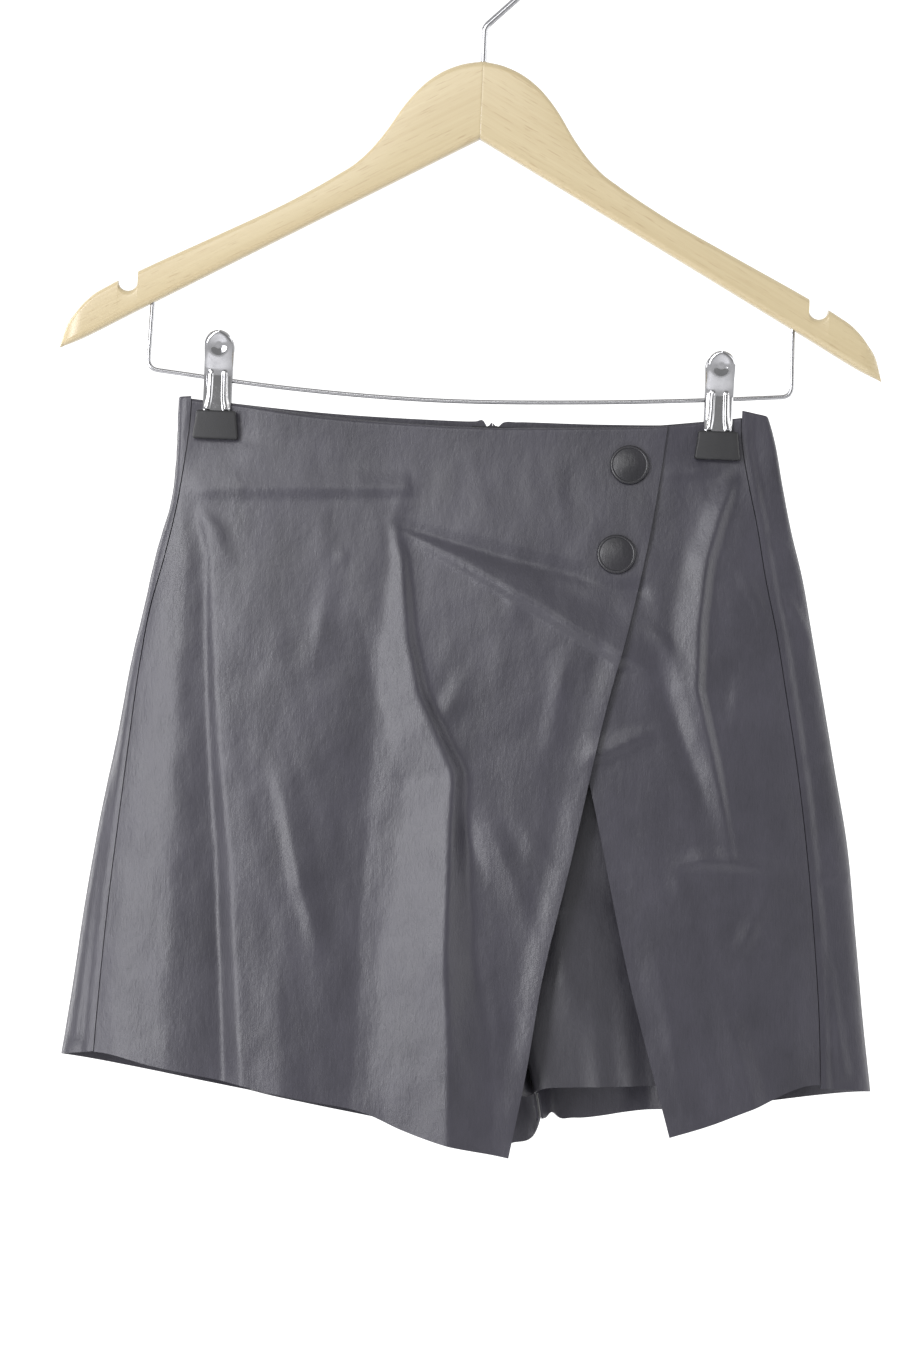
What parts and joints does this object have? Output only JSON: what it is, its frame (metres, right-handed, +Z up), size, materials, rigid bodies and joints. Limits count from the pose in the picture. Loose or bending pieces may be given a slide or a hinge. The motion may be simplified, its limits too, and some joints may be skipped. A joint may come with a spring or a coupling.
{
  "type": "skort on a clip hanger",
  "caption": "Faux-leather skort with a slanted wrap front over its shorts, hung by clips from a wooden trouser hanger.",
  "frame": {"origin": "where the rod carries the inside of the hook, on its top", "axes": "+Z up, the garment's front faces -Y, +X to the viewer's right"},
  "size_m": [0.4521, 0.0578, 0.6575],
  "materials": {
    "coated_cloth": "soft satin polyurethane coating on a knitted backing, nearly black",
    "shorts_cloth": "the same coated cloth, a little duller inside the wrap",
    "button_cover": "coated cloth drawn tight over a snap cap",
    "zip_tape": "woven black tape",
    "painted_zip_metal": "black lacquer on zinc",
    "varnished_beech": "clear satin varnish",
    "chrome": "bright plated steel",
    "steel_wire": "drawn nickel-plated wire",
    "black_rubber": "matt moulded rubber"
  },
  "bodies": {
    "garment": {"back_left": "coated_cloth", "back_right": "coated_cloth", "button_lower": "button_cover", "button_upper": "button_cover", "clip_left_front_boot": "black_rubber", "clip_left_front_plate": "chrome", "clip_left_rear_boot": "black_rubber", "clip_left_rear_plate": "chrome", "clip_left_spring": "steel_wire", "clip_right_front_boot": "black_rubber", "clip_right_front_plate": "chrome", "clip_right_rear_boot": "black_rubber", "clip_right_rear_plate": "chrome", "clip_right_spring": "steel_wire", "hanger_arm_left": "varnished_beech", "hanger_arm_right": "varnished_beech", "hook": "steel_wire", "over_panel": "coated_cloth", "shorts_front_left": "shorts_cloth", "shorts_front_right": "shorts_cloth", "trouser_bar": "steel_wire", "under_panel": "coated_cloth", "zip_slider": "painted_zip_metal", "zip_tape": "zip_tape"},
    "zip_pull": {"zip_pull": "painted_zip_metal"}
  },
  "joints": [
    {"name": "zip_pull_swing", "type": "hinge", "parent": "garment", "child": "zip_pull", "pos_m": [0.01179, 0.00996, -0.2665], "axis": [1, 0, 0], "range_deg": [0, 150]}
  ]
}
